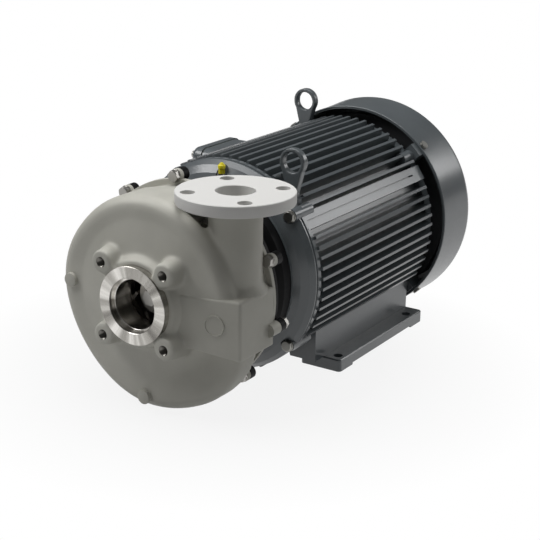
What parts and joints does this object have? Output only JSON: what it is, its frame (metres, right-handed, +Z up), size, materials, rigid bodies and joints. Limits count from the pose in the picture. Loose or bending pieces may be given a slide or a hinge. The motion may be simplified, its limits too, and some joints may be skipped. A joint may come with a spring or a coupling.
{
  "type": "centrifugal pump",
  "caption": "Close-coupled end-suction centrifugal pump: stainless volute with top discharge flange, black adapter and finned foot-mounted electric motor with fan cover.",
  "frame": {"origin": "centre of the suction face on the shaft's axis", "axes": "+Y runs along the shaft from the suction face to the motor's fan, +X is the discharge side seen from the front, +Z is up along the discharge"},
  "size_m": [0.3817, 0.652, 0.3482],
  "materials": {
    "cast_stainless": "satin blasted stainless casting, warm grey, machined flange faces",
    "inner_stainless": "smooth stainless casting",
    "gasket_fibre": "dark compressed gasket sheet",
    "bright_steel": "bright stainless fasteners",
    "turned_steel": "turned steel",
    "seal_carbon": "carbon and ceramic seal faces",
    "slinger_rubber": "black moulded rubber",
    "adapter_paint": "satin black enamel",
    "zinc_steel": "zinc plated steel",
    "motor_paint": "satin dark charcoal enamel",
    "core_steel": "stacked steel laminations",
    "copper_winding": "varnished copper coils",
    "fan_plastic": "moulded dark plastic",
    "block_plastic": "black moulded terminal block",
    "cap_yellow": "bright yellow plastic"
  },
  "bodies": {
    "pump_body": {"volute_casing": "cast_stainless", "casing_wear_ring": "inner_stainless", "casing_gasket": "gasket_fibre", "casing_vent_plug": "bright_steel", "casing_bolts": "bright_steel", "seal_seat": "seal_carbon", "seal_cover": "inner_stainless", "motor_adapter": "adapter_paint", "adapter_bolts": "zinc_steel", "drive_end_shield": "motor_paint", "drive_shield_bolts": "zinc_steel", "motor_frame": "motor_paint", "left_foot": "motor_paint", "right_foot": "motor_paint", "foot_screws": "zinc_steel", "stator_core": "core_steel", "stator_windings": "copper_winding", "drive_bearing_outer_ring": "turned_steel", "drive_bearing_cap": "turned_steel", "rear_bearing_outer_ring": "turned_steel", "bearing_preload_washer": "turned_steel", "rear_end_shield": "motor_paint", "rear_shield_bolts": "zinc_steel", "fan_cover": "motor_paint", "fan_cover_screws": "zinc_steel", "terminal_box": "motor_paint", "terminal_box_gasket": "gasket_fibre", "terminal_box_cover": "motor_paint", "terminal_box_screws": "zinc_steel", "terminal_block": "block_plastic", "front_lifting_eye": "motor_paint", "rear_lifting_eye": "motor_paint", "grease_nipple": "zinc_steel"},
    "rotor": {"motor_shaft": "turned_steel", "rotor_core": "core_steel", "drive_bearing_inner_ring": "turned_steel", "rear_bearing_inner_ring": "turned_steel", "cooling_fan": "fan_plastic", "fan_clip": "turned_steel", "shaft_sleeve": "inner_stainless", "seal_rotating_head": "seal_carbon", "seal_spring": "bright_steel", "water_slinger": "slinger_rubber", "impeller": "inner_stainless", "impeller_key": "turned_steel", "impeller_washer": "bright_steel", "impeller_bolt": "bright_steel"},
    "cap": {"grease_cap": "cap_yellow"}
  },
  "joints": [
    {"name": "shaft_spin", "type": "hinge", "parent": "pump_body", "child": "rotor", "pos_m": [0, 0, 0], "axis": [0, 1, 0], "continuous": true},
    {"name": "cap_pull", "type": "slide", "parent": "pump_body", "child": "cap", "axis": [0, 0, 1], "range_m": [0, 0.012]}
  ]
}
